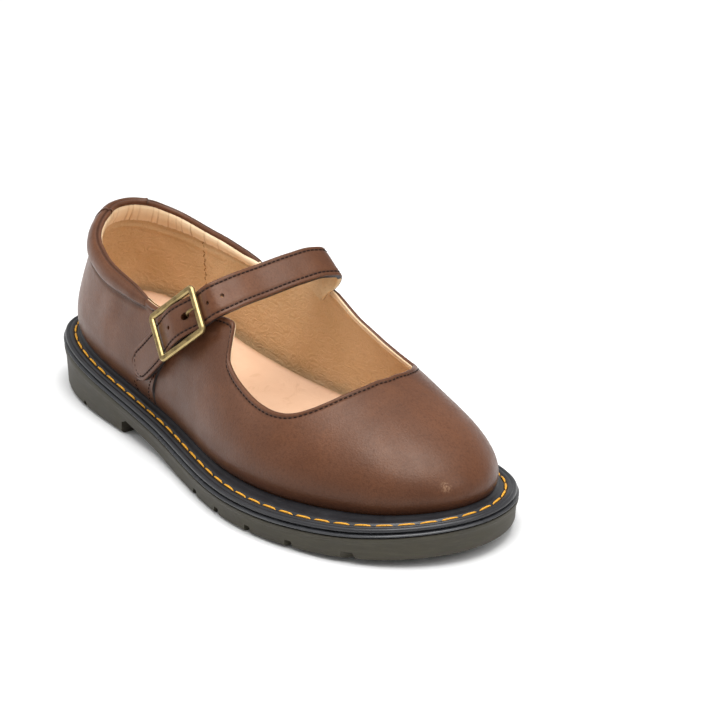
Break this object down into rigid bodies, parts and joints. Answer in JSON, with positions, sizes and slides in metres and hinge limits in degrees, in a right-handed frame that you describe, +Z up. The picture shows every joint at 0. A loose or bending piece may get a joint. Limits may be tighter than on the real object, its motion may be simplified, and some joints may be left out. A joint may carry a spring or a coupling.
{
  "type": "mary jane shoe",
  "caption": "Leather mary jane shoe for the right foot, with one buckled strap over the instep, a padded collar and a stitched welt on a thick rubber sole with a low heel.",
  "frame": {"origin": "on the floor under the middle of the sole", "axes": "+X to the toe, -Y to the outer side with the buckle, +Z up"},
  "size_m": [0.2695, 0.1072, 0.0884],
  "materials": {
    "olive_rubber": "matte moulded rubber with fine streaks",
    "black_welt": "satin, ribbed, with a stitching groove",
    "tan_footbed": "smooth, matte",
    "brown_leather": "smooth, burnished",
    "aged_brass": "antiqued, worn on the edges"
  },
  "bodies": {
    "root": {"outsole": "olive_rubber", "midsole": "black_welt", "welt": "black_welt", "insole": "tan_footbed", "upper": "brown_leather", "collar": "brown_leather", "heel_binding": "brown_leather", "strap": "brown_leather", "buckle_frame": "aged_brass", "buckle_prong": "aged_brass", "buckle_chape": "brown_leather"}
  },
  "joints": []
}
